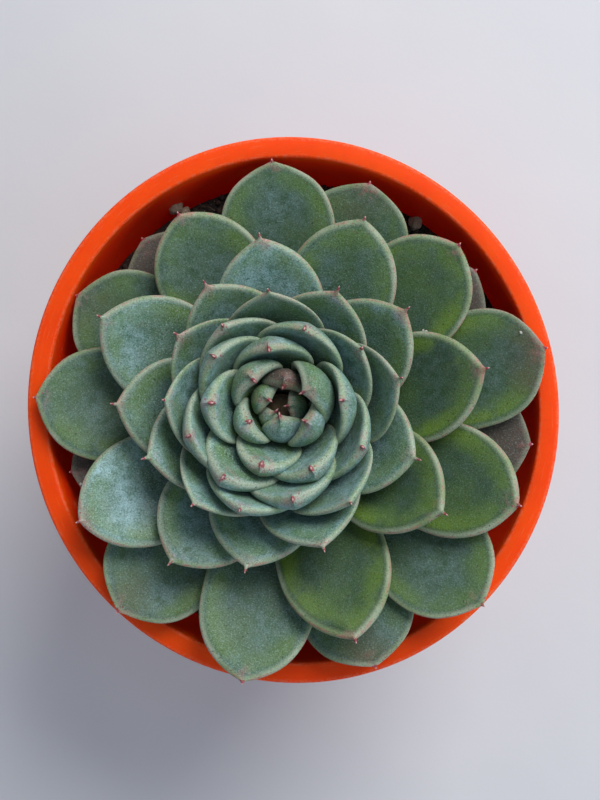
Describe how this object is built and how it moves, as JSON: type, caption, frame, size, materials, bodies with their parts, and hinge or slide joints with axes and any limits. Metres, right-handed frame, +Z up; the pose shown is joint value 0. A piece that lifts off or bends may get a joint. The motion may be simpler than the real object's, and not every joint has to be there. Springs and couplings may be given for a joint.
{
  "type": "potted succulent",
  "caption": "Rosette succulent with thick pointed leaves on a short stem, planted in soil in a round plastic pot with a flat lip, standing on its flat underside.",
  "frame": {"origin": "middle of the pot's flat underside, where it stands", "axes": "+Z up out of the pot through the rosette; +X to the right and +Y to the top of a view from above"},
  "size_m": [0.1282, 0.1318, 0.1305],
  "materials": {
    "pot": "satin",
    "soil": "matte",
    "stem": "matte",
    "leaf": "satin",
    "leaf_old": "matte"
  },
  "bodies": {
    "root": {"pot": "pot", "soil": "soil", "stem": "stem", "leaf_01": "leaf", "leaf_02": "leaf", "leaf_03": "leaf", "leaf_04": "leaf", "leaf_05": "leaf", "leaf_06": "leaf", "leaf_07": "leaf", "leaf_08": "leaf", "leaf_09": "leaf", "leaf_10": "leaf", "leaf_11": "leaf", "leaf_12": "leaf", "leaf_13": "leaf", "leaf_14": "leaf", "leaf_15": "leaf", "leaf_16": "leaf", "leaf_17": "leaf", "leaf_18": "leaf", "leaf_19": "leaf", "leaf_20": "leaf", "leaf_21": "leaf", "leaf_22": "leaf", "leaf_23": "leaf", "leaf_24": "leaf", "leaf_25": "leaf", "leaf_26": "leaf", "leaf_27": "leaf", "leaf_28": "leaf", "leaf_29": "leaf", "leaf_30": "leaf", "leaf_31": "leaf", "leaf_32": "leaf", "leaf_33": "leaf", "leaf_34": "leaf", "leaf_35": "leaf", "leaf_36": "leaf", "leaf_37": "leaf", "leaf_38": "leaf", "leaf_39": "leaf", "leaf_40": "leaf", "leaf_41": "leaf", "leaf_42": "leaf", "leaf_43": "leaf", "leaf_44": "leaf", "leaf_45": "leaf", "leaf_46": "leaf", "leaf_47": "leaf", "leaf_48": "leaf", "leaf_49": "leaf", "leaf_50": "leaf", "leaf_51": "leaf", "leaf_52": "leaf", "leaf_53": "leaf", "leaf_54": "leaf", "leaf_55": "leaf_old", "leaf_56": "leaf_old", "leaf_57": "leaf_old"}
  },
  "joints": []
}
